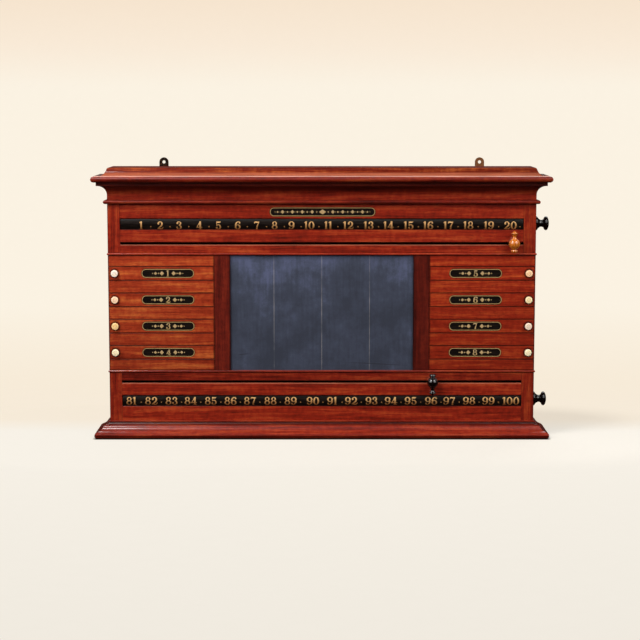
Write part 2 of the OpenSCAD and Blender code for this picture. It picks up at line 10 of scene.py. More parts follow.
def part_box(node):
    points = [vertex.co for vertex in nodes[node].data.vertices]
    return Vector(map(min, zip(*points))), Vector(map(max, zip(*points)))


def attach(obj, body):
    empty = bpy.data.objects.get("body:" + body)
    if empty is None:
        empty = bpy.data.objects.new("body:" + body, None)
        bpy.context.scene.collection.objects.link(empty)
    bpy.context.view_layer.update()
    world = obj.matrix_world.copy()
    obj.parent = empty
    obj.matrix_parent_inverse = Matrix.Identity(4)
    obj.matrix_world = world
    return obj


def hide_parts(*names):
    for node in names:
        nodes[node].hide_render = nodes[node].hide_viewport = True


bl_info = {
    "name": "Billiards scoreboard",
    "version": (1, 0, 0),
    "blender": (4, 5, 0),
    "location": "3D View > Sidebar > Scoreboard",
    "description": "Dresses the scoreboard's case, rollers, slides and pointers",
    "category": "Object",
}

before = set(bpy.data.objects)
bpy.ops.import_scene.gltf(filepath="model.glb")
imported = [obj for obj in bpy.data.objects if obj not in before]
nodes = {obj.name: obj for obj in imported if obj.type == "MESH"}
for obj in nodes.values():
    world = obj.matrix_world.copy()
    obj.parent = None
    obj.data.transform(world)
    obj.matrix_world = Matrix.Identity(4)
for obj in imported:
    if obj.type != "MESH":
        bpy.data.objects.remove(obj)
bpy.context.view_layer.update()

# Places on the board, in metres, from the frame
FACE_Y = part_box("frieze_rail")[0].y
HALF_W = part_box("right_side")[1].x
SLIDES = [(side, i) for side in ("left", "right") for i in range(1, 5)]
SLIDE_Z = [sum(p.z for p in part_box(f"left_slide_{i}")) / 2 for i in range(1, 5)]
PITCH = SLIDE_Z[0] - SLIDE_Z[1]
BUTTON_X = sum(p.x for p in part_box("right_button_1")) / 2

# The camera's place in metres, how far it looks down in degrees, and its lens and film in millimetres
CAMERA = (-0.0035, -3.498, 0.6736)
LOOKS_DOWN = 7.181
LENS, FILM = 98.44, 36.0
# How far the gilt stands out from a roller and from the face of the board, and how thick a label is
ROLLER_LEAF, LABEL_LEAF, LABEL_SHEET = 0.00012, 0.00014, 0.0001
# Edges blunter than this are shaded smooth on turned pieces
SMOOTH = math.radians(32)
# Stands a flat piece up, so that what looked up faces the front
UPRIGHT = Matrix.Rotation(math.radians(90), 4, "X")
# Rows round a roller, and numbers in a row
ROWS, IN_A_ROW = 5, 20
# How far each number of the rows in view stands from its even place, in millimetres: the painter set
# them by eye
BY_EYE = {
    "upper": (
        0, -0.6, -2, -0.2, -0.8, -1.2, -2, -5.1, -10.2, -13.4,
        -14.5, -13.2, -11.3, -10.4, -9.1, -9, -7.5, -6.4, -4.3, -0.4,
    ),
    "lower": (
        -1.6, -1.4, -0.8, -2.2, -2, -2.6, -3.5, -2.5, -2, 2.9,
        1.4, -0.3, 0.5, -0.4, -0.9, 0, -3.7, -3.7, -5, 0,
    ),
}


def colour(code):
    """An sRGB hex colour as linear red, green, blue and alpha."""
    parts = [int(code[i : i + 2], 16) / 255 for i in (0, 2, 4)]
    return tuple(c / 12.92 if c <= 0.04045 else ((c + 0.055) / 1.055) ** 2.4 for c in parts) + (1.0,)


def tint(name, code, about):
    """A colour that the user can change."""
    return FloatVectorProperty(name=name, description=about, default=colour(code), size=4, subtype="COLOR")


def length(name, metres, about):
    """A length that the user can change."""
    return FloatProperty(name=name, description=about, default=metres, unit="LENGTH", subtype="DISTANCE")


class ScoreboardSizes(bpy.types.PropertyGroup):
    """Sizes of the painted and turned work."""

    figure_height: length("Figure height", 0.016, "Height of the figures on the rollers")
    upper_first: length("Upper first figure", -0.359, "Middle of the upper row's first number")
    upper_pitch: length("Upper pitch", 0.03863, "Distance between the upper row's numbers")
    upper_drop: length("Upper drop", 0.0025, "How far the upper row lies below its window's middle")
    lower_first: length("Lower first figure", -0.3815, "Middle of the lower row's first number")
    lower_pitch: length("Lower pitch", 0.0401, "Distance between the lower row's numbers")
    lower_drop: length("Lower drop", 0.0006, "How far the lower row lies below its window's middle")
    label_width: length("Label width", 0.106, "Width of a slide's black label")
    label_height: length("Label height", 0.019, "Height of a slide's black label")
    label_x: length("Label place", 0.307, "Distance of the labels from the board's middle")
    frieze_label_width: length("Frieze label width", 0.2105, "Width of the frieze's black label")
    frieze_label_height: length("Frieze label height", 0.0188, "Height of the frieze's black label")
    frieze_label_z: length("Frieze label height place", 0.4523, "Height of the frieze label's middle")
    gilt_line: length("Gilt line", 0.0012, "Width of the gilt line round a label")
    turning_steps: IntProperty(name="Turning steps", description="Sides of a turned piece", default=72)


class ScoreboardColours(bpy.types.PropertyGroup):
    """Colours of the finishes."""

    mahogany_dark: tint("Dark grain", "4E0F06", "Darkest grain of the polished mahogany")
    mahogany: tint("Mahogany", "8B2210", "Middle tone of the polished mahogany")
    mahogany_light: tint("Light grain", "AE4420", "Lightest grain of the polished mahogany")
    crown: tint("Crown", "6C1E0C", "Middle tone of the sun-faded crown")
    crown_light: tint("Light crown", "A65226", "Lightest grain of the sun-faded crown")
    slat_dark: tint("Slat grain", "771F0B", "Darkest grain of the slats and slides")
    slat: tint("Slats", "9E3519", "Middle tone of the slats and slides")
    slat_light: tint("Light slats", "C8642E", "Lightest grain of the slats and slides")
    stile_dark: tint("Slate stile grain", "300804", "Darkest grain of the slate's stiles")
    stile: tint("Slate stiles", "5C170E", "Middle tone of the slate's stiles")
    stile_light: tint("Light slate stiles", "7C2616", "Lightest grain of the slate's stiles")
    slate: tint("Slate", "353A4A", "Written-on slate")
    slate_light: tint("Slate bloom", "4D536E", "Chalk bloom on the slate")
    lacquer: tint("Roller black", "0C0604", "Black lacquer on the rollers and labels")
    gilt_top: tint("Gilt", "D8A66A", "Gold at the head of a figure")
    gilt_foot: tint("Gilt foot", "8E5222", "Gold at the foot of a figure")
    ebony: tint("Ebonised wood", "080303", "Black-stained knobs and pointer")
    boxwood: tint("Boxwood", "C2691C", "Turned boxwood pointer")
    pine: tint("Pine", "A97B4B", "Back board and shelves")
    floor: tint("Floor", "F7F1E6", "Paper under the board")
    backdrop: tint("Backdrop", "FCF3E3", "Paper behind the board")


# Modelling helpers


def deselect():
    """Leaves nothing selected, in object mode."""
    if bpy.context.object and bpy.context.object.mode != "OBJECT":
        bpy.ops.object.mode_set(mode="OBJECT")
    bpy.ops.object.select_all(action="DESELECT")


def select_only(piece):
    """Selects one piece and makes it the active one."""
    deselect()
    piece.select_set(True)
    bpy.context.view_layer.objects.active = piece


def settle(piece, turn, place):
    """Moves a finished piece to its place, and puts the place into its mesh."""
    piece.matrix_world = Matrix.Translation(place) @ turn
    select_only(piece)
    bpy.ops.object.transform_apply(location=True, rotation=True, scale=True)


def own(piece, name, body, slot, materials=()):
    """Names a finished piece, gives it its materials and makes it ride on its body."""
    piece.name = name
    piece.data.name = name
    for material in materials:
        piece.data.materials.append(material)
    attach(piece, body)


def put(piece, name, turn, place, body, slot, material):
    """Sets a turned piece in the place of the node of that name."""
    settle(piece, turn, Vector(place))
    own(piece, name + "_turned", body, slot, [material])
    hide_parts(name)


def dress(material, *names):
    """Gives a finish to nodes of the frame."""
    for name in names:
        piece = nodes[name]
        if not piece.material_slots:
            piece.data.materials.append(material)
        for slot in piece.material_slots:
            slot.material = material


def bow(start, end, radius, side, steps=10):
    """Points on an arc from start to end. side is 1 where its middle lies left of the way there."""
    start, end = Vector(start), Vector(end)
    way = end - start
    across = Vector((-way.y, way.x)) / way.length
    centre = (start + end) / 2 + across * side * math.sqrt(radius**2 - way.length**2 / 4)
    first = math.atan2(start.y - centre.y, start.x - centre.x)
    turn = 2 * math.asin(way.length / 2 / radius) * side
    angles = [first + turn * i / steps for i in range(steps + 1)]
    return [(centre.x + radius * math.cos(a), centre.y + radius * math.sin(a)) for a in angles]


def turned(outline, unit):
    """A piece turned on a lathe: its outline of (radius, height) is drawn and spun about Z."""
    deselect()
    bpy.ops.mesh.primitive_plane_add(size=unit)
    piece = bpy.context.object
    bpy.ops.object.mode_set(mode="EDIT")
    bpy.ops.mesh.merge(type="CENTER")
    here = Vector((0, 0, 0))
    for k, (radius, height) in enumerate(outline):
        point = Vector((radius * unit, 0, height * unit))
        if k == 0:
            bpy.ops.transform.translate(value=point)
        else:
            bpy.ops.mesh.extrude_region_move(TRANSFORM_OT_translate={"value": point - here})
        here = point
    bpy.ops.mesh.select_all(action="SELECT")
    steps = bpy.context.scene.scoreboard_sizes.turning_steps
    bpy.ops.mesh.spin(steps=steps, angle=2 * math.pi, center=(0, 0, 0), axis=(0, 0, 1))
    bpy.ops.mesh.select_all(action="SELECT")
    bpy.ops.mesh.remove_doubles(threshold=1e-6)
    bpy.ops.mesh.normals_make_consistent(inside=False)
    bpy.ops.object.mode_set(mode="OBJECT")
    bpy.ops.object.shade_smooth_by_angle(angle=SMOOTH)
    return piece


# Gilt figures, drawn in a height of 1. Each shape is a list of four-cornered or fan faces


def hoop(cx, cy, rx, ry, side, top, start=0, end=360, steps=24):
    """An oval stroke, thick at its sides and thin at its top, from one angle to another."""
    faces = []
    for i in range(steps):
        a, b = (math.radians(start + (end - start) * k / steps) for k in (i, i + 1))
        outer = [(cx + rx * math.cos(t), cy + ry * math.sin(t)) for t in (a, b)]
        inner = [(cx + (rx - side) * math.cos(t), cy + (ry - top) * math.sin(t)) for t in (b, a)]
        faces.append(outer + inner)
    return faces


def slab(x0, y0, x1, y1, steps=1):
    """An upright rectangular stroke, in steps from foot to head."""
    rise = (y1 - y0) / steps
    return [
        [(x0, y0 + rise * i), (x1, y0 + rise * i), (x1, y0 + rise * (i + 1)), (x0, y0 + rise * (i + 1))]
        for i in range(steps)
    ]


def brush(points, widths):
    """A stroke along points, as wide at each point as widths says."""
    points = [Vector(p) for p in points]
    sides = []
    for k, point in enumerate(points):
        way = (points[min(k + 1, len(points) - 1)] - points[max(k - 1, 0)]).normalized()
        across = Vector((-way.y, way.x)) * widths[k] / 2
        sides.append((point + across, point - across))
    return [[a[0], a[1], b[1], b[0]] for a, b in zip(sides, sides[1:])]


def dot(cx, cy, radius, steps=14):
    """A round dot."""
    angles = [2 * math.pi * i / steps for i in range(steps)]
    return [[(cx + radius * math.cos(a), cy + radius * math.sin(a)) for a in angles]]


def lozenge(cx, cy, width, height):
    """A diamond standing on its point."""
    return [[(cx - width / 2, cy), (cx, cy - height / 2), (cx + width / 2, cy), (cx, cy + height / 2)]]


SIX = (
    hoop(0.36, 0.31, 0.36, 0.31, 0.19, 0.08)
    + hoop(0.46, 0.5, 0.46, 0.5, 0.2, 0.08, 180, 68, 12)
    + dot(0.6, 0.82, 0.1)
)
FIGURES = {
    "0": (0.74, hoop(0.37, 0.5, 0.37, 0.5, 0.2, 0.08)),
    "1": (
        0.44,
        slab(0.13, 0.0, 0.33, 1.0, 10)
        + slab(0.02, 0.0, 0.44, 0.06)
        + [[(0.0, 0.8), (0.13, 0.84), (0.13, 0.95), (0.0, 0.85)]]
        + [[(0.13, 0.95), (0.13, 1.0), (0.2, 1.0), (0.2, 0.95)]],
    ),
    "2": (
        0.76,
        hoop(0.37, 0.7, 0.33, 0.3, 0.19, 0.08, 165, -38, 14)
        + dot(0.16, 0.71, 0.11)
        + brush([(0.6, 0.54), (0.42, 0.36), (0.2, 0.2), (0.05, 0.04)], [0.2, 0.17, 0.1, 0.07])
        + brush(
            [(0.03, 0.1), (0.18, 0.13), (0.4, 0.07), (0.6, 0.08), (0.71, 0.2), (0.74, 0.32)],
            [0.1, 0.14, 0.15, 0.15, 0.09, 0.03],
        ),
    ),
    "3": (
        0.7,
        hoop(0.35, 0.75, 0.29, 0.25, 0.17, 0.08, 160, -90, 14)
        + dot(0.16, 0.76, 0.1)
        + hoop(0.34, 0.28, 0.35, 0.28, 0.19, 0.08, 90, -160, 16)
        + dot(0.12, 0.25, 0.11),
    ),
    "4": (
        0.76,
        slab(0.38, 0.0, 0.59, 1.0, 10)
        + slab(0.27, 0.0, 0.71, 0.07)
        + slab(0.0, 0.23, 0.75, 0.32)
        + brush([(0.05, 0.25), (0.28, 0.62), (0.5, 0.99)], [0.09, 0.1, 0.12]),
    ),
    "5": (
        0.7,
        brush([(0.11, 0.92), (0.3, 0.9), (0.5, 0.9), (0.63, 0.97)], [0.15, 0.18, 0.16, 0.04])
        + slab(0.1, 0.46, 0.16, 0.96, 5)
        + hoop(0.33, 0.31, 0.35, 0.32, 0.19, 0.08, 130, -155, 18)
        + dot(0.13, 0.22, 0.11),
    ),
    "6": (0.72, SIX),
    "7": (
        0.68,
        brush([(0.07, 0.9), (0.25, 0.92), (0.45, 0.88), (0.66, 0.93)], [0.14, 0.17, 0.17, 0.1])
        + slab(0.03, 0.72, 0.09, 0.92)
        + brush([(0.64, 0.94), (0.5, 0.66), (0.38, 0.38), (0.34, 0.0)], [0.06, 0.1, 0.17, 0.22]),
    ),
    "8": (
        0.72,
        hoop(0.36, 0.745, 0.29, 0.255, 0.15, 0.075) + hoop(0.36, 0.28, 0.36, 0.28, 0.18, 0.08),
    ),
    "9": (0.72, [[(0.72 - x, 1 - y) for x, y in face] for face in SIX]),
}


def figures(text, height, gap=0.09):
    """The faces of a number, centred on its middle, and its width."""
    widths = [FIGURES[c][0] for c in text]
    total = sum(widths) + gap * (len(text) - 1)
    faces = []
    x = -total / 2
    for c, width in zip(text, widths):
        faces += [[((x + u) * height, (v - 0.5) * height) for u, v in face] for face in FIGURES[c][1]]
        x += width + gap
    return faces, total * height


def gilded(name, faces, lay, height, body, material):
    """A piece of gilt work: faces of (x, up, shift) laid on the surface that lay gives."""
    mesh = bpy.data.meshes.new(name)
    points = [p for face in faces for p in face]
    index, polygons = 0, []
    for face in faces:
        polygons.append(list(range(index, index + len(face))))
        index += len(face)
    mesh.from_pydata([lay(x, up) for x, up, shift in points], [], polygons)
    rise = mesh.uv_layers.new(name="rise")
    for loop in mesh.loops:
        rise.data[loop.index].uv = (0.5, points[loop.vertex_index][2] / height + 0.5)
    piece = bpy.data.objects.new(name, mesh)
    bpy.context.scene.collection.objects.link(piece)
    select_only(piece)
    bpy.ops.object.mode_set(mode="EDIT")
    bpy.ops.mesh.select_all(action="SELECT")
    bpy.ops.mesh.normals_make_consistent(inside=False)
    bpy.ops.object.mode_set(mode="OBJECT")
    own(piece, name, body, "brass", [material])


# Finishes


def feed(node, values):
    """Gives a node its inputs, by name or in order: a number or a colour is set, and a socket is linked.

    A node stands for its first output. In order, MapRange takes a value, where it runs from and to, and
    what that becomes.
    """
    for key, value in values.items() if isinstance(values, dict) else enumerate(values):
        if isinstance(value, bpy.types.Node):
            value = value.outputs[0]
        if isinstance(value, bpy.types.NodeSocket):
            node.id_data.links.new(value, node.inputs[key])
        else:
            node.inputs[key].default_value = value


def add(tree, kind, values=(), stops=(), **settings):
    """Adds a node with its settings, its inputs and its ramp's stops. kind may end in its operation."""
    kind, *operation = kind.split()
    node = tree.nodes.new("ShaderNode" + kind)
    if operation:
        node.operation = operation[0]
    for key, value in settings.items():
        setattr(node, key, value)
    feed(node, values)
    for k, (place, shade) in enumerate(stops):
        points = node.color_ramp.elements
        point = points[k] if k < 2 else points.new(place)
        point.position, point.color = place, shade
    return node


def finish(name, **values):
    """A new material, with what adds a node to it, its shader and the piece's own coordinates."""
    material = bpy.data.materials.new(name)
    material.use_nodes = True
    tree = material.node_tree
    tree.nodes.clear()
    node = partial(add, tree)
    shader = node("BsdfPrincipled", {k.replace("_", " "): v for k, v in values.items()})
    node("OutputMaterial", {"Surface": shader})
    place = node("TexCoord").outputs["Object"]
    return material, node, shader, place


def near(node, parts, marks):
    """1 on any of the marked lines, each an axis, a place and a width, and 0 beside them."""
    total = None
    for axis, place, width in marks:
        away = node("Math SUBTRACT", [parts[axis], place])
        away = node("Math ABSOLUTE", [away])
        mark = node("MapRange", [away, width * 0.3, width, 1, 0])
        total = mark if total is None else node("Math MAXIMUM", [total, mark])
    return total


def drawn_out(node, place, scale, Location=(0, 0, 0), **values):
    """Noise drawn out along a grain. scale is how often it changes in a metre along each axis."""
    place = node("Mapping", {"Vector": place, "Location": Location, "Scale": scale})
    values = {key.replace("_", " "): value for key, value in values.items()}
    return node("TexNoise", {"Vector": place, "Scale": 1.0, **values})


def joints(name, width=0.001):
    """The marks along the four edges of a piece of the front."""
    low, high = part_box(name)
    return [(0, low.x, width), (0, high.x, width), (2, low.z, width), (2, high.z, width)]


def tones_of(colours, *names):
    """A wood's tones, from its darkest grain to its lightest."""
    return [tuple(getattr(colours, name)) for name in names]


def shaded(tones, red, others=None):
    """A wood's tones made darker: its red by one share, and its green and blue by another if they differ."""
    others = red if others is None else others
    return [(tone[0] * red, tone[1] * others, tone[2] * others, 1.0) for tone in tones]


def french_polished(
    name, tones, along, shift, grime_and_shade=(), wear_and_highlight=(), highlight_tone="A86C50", side_shade=None, rows=None, ring=False,
    dusty=None, faded=None,
):
    """Mahogany under french polish: streaked and ribboned red-brown, with dark pores and a hard gloss.

    The grain runs along one axis, and shift picks the part of the plank. grime_and_shade and
    wear_and_highlight
    are marks for near: real dark joints and painted shade, and painted highlights on arrises in
    highlight_tone.
    side_shade is how much painted shade darkens the mitred lengths on the sides, rows the height where the
    strips of a panel are counted from, and ring the painted shadow round the buttons. dusty is the height of
    a face that looks up, and faded is how much lighter the left end and darker the right end are painted, as
    painted light.
    """
    coat = 0.75
    material, node, shader, place = finish(
        name, Roughness=0.3, Coat_Weight=coat, Coat_Roughness=0.075, Specular_IOR_Level=0.35
    )
    parts = node("SeparateXYZ", [place]).outputs
    darkening = near(node, parts, grime_and_shade) if grime_and_shade else None
    if side_shade is not None:
        # The mitred lengths on the sides run from front to back, so their grain turns there
        size = node("Math ABSOLUTE", [parts[0]])
        reach = node("Math ADD", [size, parts[1]])
        side = node("Math GREATER_THAN", [reach, HALF_W + FACE_Y])
        swapped = node("CombineXYZ", [parts[1], parts[0], parts[2]])
        place = node("Mix", {0: side, 4: place, 5: swapped}, data_type="VECTOR").outputs[1]
        # Painted shade darkens the mitred lengths on the sides
        back = node("Math MULTIPLY", [side, side_shade])
        darkening = node("Math MAXIMUM", [back, darkening])
    if rows is not None:
        # Each strip is cut from another part of the plank
        row = node("Math SUBTRACT", [parts[2], rows])
        row = node("Math DIVIDE", [row, PITCH])
        row = node("Math FLOOR", [row])
        place = node("VectorMath MULTIPLY_ADD", [row, (0.37, 0.21, 0.13), place])
        # and the lower it is, the darker it is
        lower_darker = node("Math MULTIPLY_ADD", [row, 0.06, 1.04])
        # The dark groove between a slide and a slat, 13.8 mm from the slide's middle
        rise = node("Math SUBTRACT", [parts[2], SLIDE_Z[0]])
        rise = node("Math PINGPONG", [rise, PITCH / 2])
        groove = near(node, {2: rise}, [(2, 0.0138, 0.0019)])
        darkening = node("Math MAXIMUM", [groove, darkening])
        if ring:
            # Painted shadow round a button, cast by its head on the slide
            beside = node("Math ABSOLUTE", [parts[0]])
            beside = node("Math SUBTRACT", [beside, BUTTON_X])
            beside = node("CombineXYZ", [beside, rise])
            beside = node("VectorMath LENGTH", [beside]).outputs["Value"]
            button_shadow = near(node, {0: beside}, [(0, 0.0078, 0.0032)])
            darkening = node("Math MAXIMUM", [button_shadow, darkening])
    # The plank's slow waves, about 300 mm long and 5 mm deep
    wave = node("TexNoise", {"Vector": place, "Scale": 3.3, "Detail": 1.0})
    waves = wave.outputs["Color"]
    bent = node("VectorMath MULTIPLY_ADD", [waves, (0.014, 0.014, 0.014), place])
    # Long by wide in metres: broad figure, streaks, ribbons across the grain, and pores, which are drawn
    # twice as wide as they are
    sizes = ((0.2, 0.013, 2.0), (0.08, 0.0024, 4.0), (0.009, 0.016, 3.0), (0.009, 0.0006, 1.0))
    layers = []
    for long, wide, detail in sizes:
        scale = [1 / wide] * 3
        scale[along] = 1 / long
        start = (shift, shift * 1.7, shift * 0.6)
        layers.append(drawn_out(node, bent, scale, Location=start, Detail=detail, Roughness=0.58))
    blend = node("Math MULTIPLY", [layers[0], 0.42])
    for layer, share in ((layers[1], 0.38), (layers[2], 0.2)):
        blend = node("Math MULTIPLY_ADD", [layer, share, blend])
    wood = node("ValToRGB", [blend], zip((0.35, 0.5, 0.64), tones))
    pores = node("MapRange", [layers[3], 0.36, 0.46, 0.6, 1])
    # Painted light: the left end lighter and the right end darker
    depth = pores
    if faded:
        # The end nearer the window has bleached
        side_light = node("MapRange", [parts[0], -HALF_W, HALF_W, *faded])
        depth = node("Math MULTIPLY", [depth, side_light])
    if rows is not None:
        depth = node("Math MULTIPLY", [depth, lower_darker])
    if darkening:
        undarkened = node("Math MULTIPLY_ADD", [darkening, -0.72, 1.0])
        depth = node("Math MULTIPLY", [depth, undarkened])
        # Dark joints and painted shade alike dull the coat
        clear = node("MapRange", [darkening, 0, 1, coat, 0.1])
        feed(shader, {"Coat Weight": clear})
    tone = node("VectorMath SCALE", {0: wood, 3: depth})
    if wear_and_highlight:
        # Painted highlights along arrises, in a paler tone
        thin = node("Math MULTIPLY", [near(node, parts, wear_and_highlight), layers[1]])
        tone = node("Mix", {0: thin, 6: tone, 7: colour(highlight_tone)}, data_type="RGBA").outputs[2]
    if dusty:
        # Dust has dulled the face that looks up
        feed(shader, {"Specular IOR Level": 0.04})
        film = node("MapRange", [wave, 0.3, 0.7, 0.75, 1])
        dust = near(node, parts, [(2, dusty, 0.0012)])
        dust = node("Math MULTIPLY", [dust, film])
        tone = node("Mix", {0: dust, 6: tone, 7: colour("4C150B")}, data_type="RGBA").outputs[2]
        dull = node("MapRange", [dust, 0, 1, 0.3, 0.95])
        feed(shader, {"Roughness": dull})
        bare = node("MapRange", [dust, 0, 1, 0.5, 0])
        feed(shader, {"Coat Weight": bare})
    feed(shader, {"Base Color": tone})
    relief = node("Math MULTIPLY_ADD", [layers[0], 1.2, pores])
    feed(shader, {"Normal": node("Bump", {"Height": relief, "Strength": 0.3, "Distance": 0.00014})})
    return material


def rubbed_slate(colours):
    """Welsh slate with years of chalk worked in: blue-grey, blotched, dull, with three ruled lines."""
    material, node, shader, place = finish("rubbed_slate", Roughness=0.62, Specular_IOR_Level=0.35)
    cloud = node("TexNoise", {"Vector": place, "Scale": 13.0, "Detail": 6.0, "Roughness": 0.65})
    smear = drawn_out(node, place, (190, 190, 16), Detail=4.0)
    grain = node("TexNoise", {"Vector": place, "Scale": 900.0, "Detail": 2.0})
    tone = node("Math MULTIPLY_ADD", [smear, 0.22, cloud])
    tone = node("Math MULTIPLY_ADD", [grain, 0.25, tone])
    # Darker towards the foot
    parts = node("SeparateXYZ", [place]).outputs
    low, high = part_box("slate")
    lift = node("MapRange", [parts[2], low.z + 0.12, high.z, -0.12, 0.11])
    tone = node("Math ADD", [tone, lift])
    deep = [c * 0.62 for c in colours.slate]
    stops = ((0.56, deep), (0.74, colours.slate), (0.92, colours.slate_light))
    body = node("ValToRGB", [tone], stops)
    # Three ruled lines, 0.9 mm wide so that they show, a quarter of the width apart and broken in places
    quarter = 0.0955
    aside = node("Math PINGPONG", [parts[0], quarter / 2])
    inside = node("Math ABSOLUTE", [parts[0]])
    inside = node("Math LESS_THAN", [inside, quarter * 1.4])
    line = node("Math LESS_THAN", [aside, 0.00045])
    broken = node("MapRange", [cloud, 0.42, 0.62, 0.1, 0.75])
    line = node("Math MULTIPLY", [line, inside])
    line = node("Math MULTIPLY", [line, broken])
    tone = node("Mix", {0: line, 6: body, 7: colour("9A938E")}, data_type="RGBA").outputs[2]
    # Two scratches near the foot: from where to where each runs, how high its line would cross the
    # board's middle, and its slope
    scratches = ((0.0425, 0.1765, 0.1529, -0.053), (-0.1715, -0.1435, 0.1777, 0.071))
    for start, end, level, slope in scratches:
        fall = node("Math MULTIPLY_ADD", [parts[0], -slope, parts[2]])
        mark = near(node, {0: fall, 1: parts[0]}, [(0, level, 0.0011)])
        inside = near(node, parts, [(0, (start + end) / 2, (end - start) / 2)])
        mark = node("Math MULTIPLY", [mark, inside])
        mark = node("Math MULTIPLY", [mark, 0.7])
        tone = node("Mix", {0: mark, 6: tone, 7: colour("14151B")}, data_type="RGBA").outputs[2]
    feed(shader, {"Base Color": tone})
    feed(shader, {"Normal": node("Bump", {"Height": grain, "Strength": 0.35, "Distance": 0.0002})})
    return material


def black_lacquer(colours):
    """Shellac lacquer on a wooden roller: near black, glossy, with faint dust and fine scratches."""
    material, node, shader, place = finish(
        "black_lacquer", Roughness=0.3, Coat_Weight=0.8, Coat_Roughness=0.07, Specular_IOR_Level=0.3
    )
    dust = drawn_out(node, place, (40, 500, 500), Detail=4.0)
    stops = ((0.45, colours.lacquer), (0.8, colour("241A14")))
    feed(shader, {"Base Color": node("ValToRGB", [dust], stops)})
    feed(shader, {"Normal": node("Bump", {"Height": dust, "Strength": 0.1, "Distance": 0.0001})})
    return material


def gold_leaf(colours, name="gold_leaf", foot=None, head=None):
    """Gold leaf on lacquer, shaded by the painter: pale at the head of a figure and brown at its foot."""
    material, node, shader, place = finish(name, Roughness=0.4, Metallic=0.3)
    rise = node("UVMap", uv_map="rise")
    height = node("SeparateXYZ", [rise]).outputs[1]
    wear_and_highlight = node("TexNoise", {"Vector": place, "Scale": 700.0, "Detail": 3.0})
    mixed = node("Math MULTIPLY_ADD", [wear_and_highlight, 0.4, height])
    stops = ((0.2, foot or colours.gilt_foot), (1.0, head or colours.gilt_top))
    feed(shader, {"Base Color": node("ValToRGB", [mixed], stops)})
    return material


def ebonised(colours):
    """Close-grained wood stained black and polished: nearly black, brown where it is handled."""
    material, node, shader, place = finish(
        "ebonised_pearwood", Roughness=0.25, Coat_Weight=1.0, Coat_Roughness=0.03, Specular_IOR_Level=0.1
    )
    grain = node("TexNoise", {"Vector": place, "Scale": 260.0, "Detail": 5.0})
    stops = ((0.5, colours.ebony), (0.85, colour("200D09")))
    feed(shader, {"Base Color": node("ValToRGB", [grain], stops)})
    return material


def turned_boxwood(colours):
    """Varnished boxwood: orange-tan, very fine grain along the turning axis, glossy."""
    material, node, shader, place = finish(
        "turned_boxwood", Roughness=0.3, Coat_Weight=1.0, Coat_Roughness=0.04, Specular_IOR_Level=0.3
    )
    grain = drawn_out(node, place, (420, 420, 45), Detail=4.0)
    stops = ((0.28, colour("94480F")), (0.52, colours.boxwood), (0.8, colour("D88632")))
    feed(shader, {"Base Color": node("ValToRGB", [grain], stops)})
    return material


def turned_bone(name, tone, middle, radius):
    """Polished bone, stained a little: fine brownish flecks, a soft shine, and dirt in its turned ring."""
    material, node, shader, place = finish(
        name, Roughness=0.3, Subsurface_Weight=0.15, Subsurface_Radius=(0.002, 0.0012, 0.0007)
    )
    fleck = node("TexNoise", {"Vector": place, "Scale": 900.0, "Detail": 3.0})
    shade = node("ValToRGB", [fleck], ((0.3, [c * 0.8 for c in tone]), (0.5, tone)))
    aside = node("VectorMath SUBTRACT", [place, middle])
    aside = node("VectorMath MULTIPLY", [aside, (1, 0, 1)])
    aside = node("VectorMath LENGTH", [aside]).outputs["Value"]
    darkening = near(node, {0: aside}, [(0, radius * 0.44, radius * 0.2), (0, 0.0, radius * 0.24)])
    darkening = node("Math MULTIPLY", [darkening, 0.3])
    tone = node("Mix", {0: darkening, 6: shade, 7: colour("9C8A58")}, data_type="RGBA").outputs[2]
    feed(shader, {"Base Color": tone})
    return material


def bare_pine(colours):
    """Unpolished pine, dried to a dusty brown, with dark late-wood lines."""
    material, node, shader, place = finish("aged_pine", Roughness=0.75)
    rings = drawn_out(node, place, (3.0, 60, 60), Detail=5.0, Roughness=0.6, Distortion=0.4)
    fine = drawn_out(node, place, (5.0, 420, 420), Detail=3.0)
    both = node("Mix", {0: 0.4, 2: rings, 3: fine})
    stops = ((0.36, colour("74502C")), (0.5, colours.pine), (0.66, colour("BE9360")))
    feed(shader, {"Base Color": node("ValToRGB", [both], stops)})
    feed(shader, {"Normal": node("Bump", {"Height": rings, "Strength": 0.3, "Distance": 0.0003})})
    return material


def metal(name, dark, light, roughness, metallic=1.0, scale=300.0, warmer=None):
    """A metal with wear: its polished tone, with darker patina in patches.

    warmer shifts the pieces on the right towards the light tone.
    """
    material, node, shader, place = finish(name, Roughness=roughness, Metallic=metallic)
    patina = node("TexNoise", {"Vector": place, "Scale": scale, "Detail": 5.0})
    if warmer:
        right = node("SeparateXYZ", [place])
        right = node("MapRange", [right, 0, 0.1, -warmer, warmer])
        patina = node("Math ADD", [patina, right])
    feed(shader, {"Base Color": node("ValToRGB", [patina], ((0.38, dark), (0.62, light)))})
    return material


# Operators, one for each group of pieces


